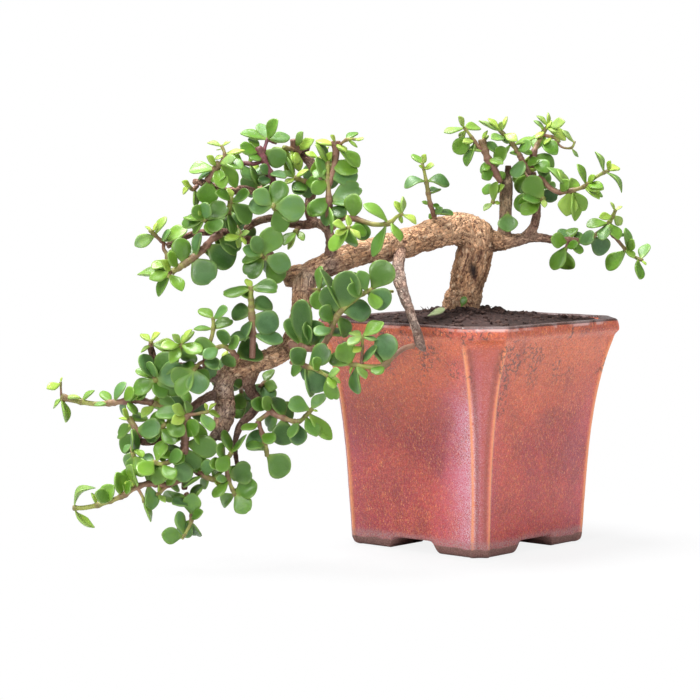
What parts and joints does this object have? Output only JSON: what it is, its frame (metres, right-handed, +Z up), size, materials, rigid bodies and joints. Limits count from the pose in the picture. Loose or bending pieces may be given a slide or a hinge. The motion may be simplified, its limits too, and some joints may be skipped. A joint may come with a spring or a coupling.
{
  "type": "elephant bush bonsai",
  "caption": "Elephant bush bonsai whose main branch falls over the side of a tall square pot with a red-brown glaze and corner feet.",
  "frame": {"origin": "middle of the whole object's bounding box, on the ground", "axes": "+X to the right in front view, so that the branch falls towards -X; +Y away from the front; +Z up"},
  "size_m": [0.369, 0.2378, 0.269],
  "materials": {
    "glaze": "gloss, mottled red-brown and purple",
    "potting_mix": "loose, dark and crumbly",
    "bark": "rough and flaking, grey-brown",
    "leaf_mature": "glossy, fleshy",
    "leaf_young": "glossy, fleshy, yellow-green",
    "leaf_fallen": "dull"
  },
  "bodies": {
    "root": {"bough_fan": "leaf_mature", "burl_leaf": "leaf_mature", "chain": "leaf_mature", "crown_back": "leaf_mature", "crown_face": "leaf_mature", "crown_gap": "leaf_mature", "crown_left_back": "leaf_mature", "crown_sprout": "leaf_young", "deep_mid": "leaf_mature", "drop_leaf": "leaf_mature", "east_arm": "leaf_mature", "east_branch": "leaf_young", "east_low": "leaf_mature", "east_reach": "leaf_mature", "east_rise": "leaf_young", "fall_back": "leaf_mature", "fallen_leaf": "leaf_fallen", "far_west": "leaf_young", "foot_leaf": "leaf_young", "gate": "leaf_mature", "heart": "leaf_mature", "inner_east": "leaf_young", "knob_leaves": "leaf_mature", "left_fork": "leaf_young", "low_back": "leaf_mature", "mast_foot": "leaf_mature", "mid_fork": "leaf_young", "north_west_low": "leaf_mature", "nw_end": "leaf_young", "nw_face": "leaf_mature", "nw_tip": "leaf_young", "pink_stub": "leaf_mature", "post_top": "leaf_young", "pot": "glaze", "purple": "leaf_mature", "red_reach": "leaf_young", "riser_back": "leaf_mature", "riser_buds": "leaf_mature", "riser_leaves": "leaf_mature", "riser_top": "leaf_young", "saddle": "leaf_mature", "soil": "potting_mix", "stub_side": "leaf_young", "sw_reach": "leaf_young", "tail": "leaf_young", "thin_back": "leaf_mature", "thin_fan": "leaf_mature", "thin_side": "leaf_mature", "trunk": "bark", "twig_foot": "leaf_young", "west_back": "leaf_mature", "west_gable": "leaf_mature", "west_mast": "leaf_mature", "west_post": "leaf_mature", "west_reach": "leaf_young", "west_tuft": "leaf_mature", "west_under": "leaf_mature", "yellow_bud": "leaf_young", "yellow_post": "leaf_young"}
  },
  "joints": []
}
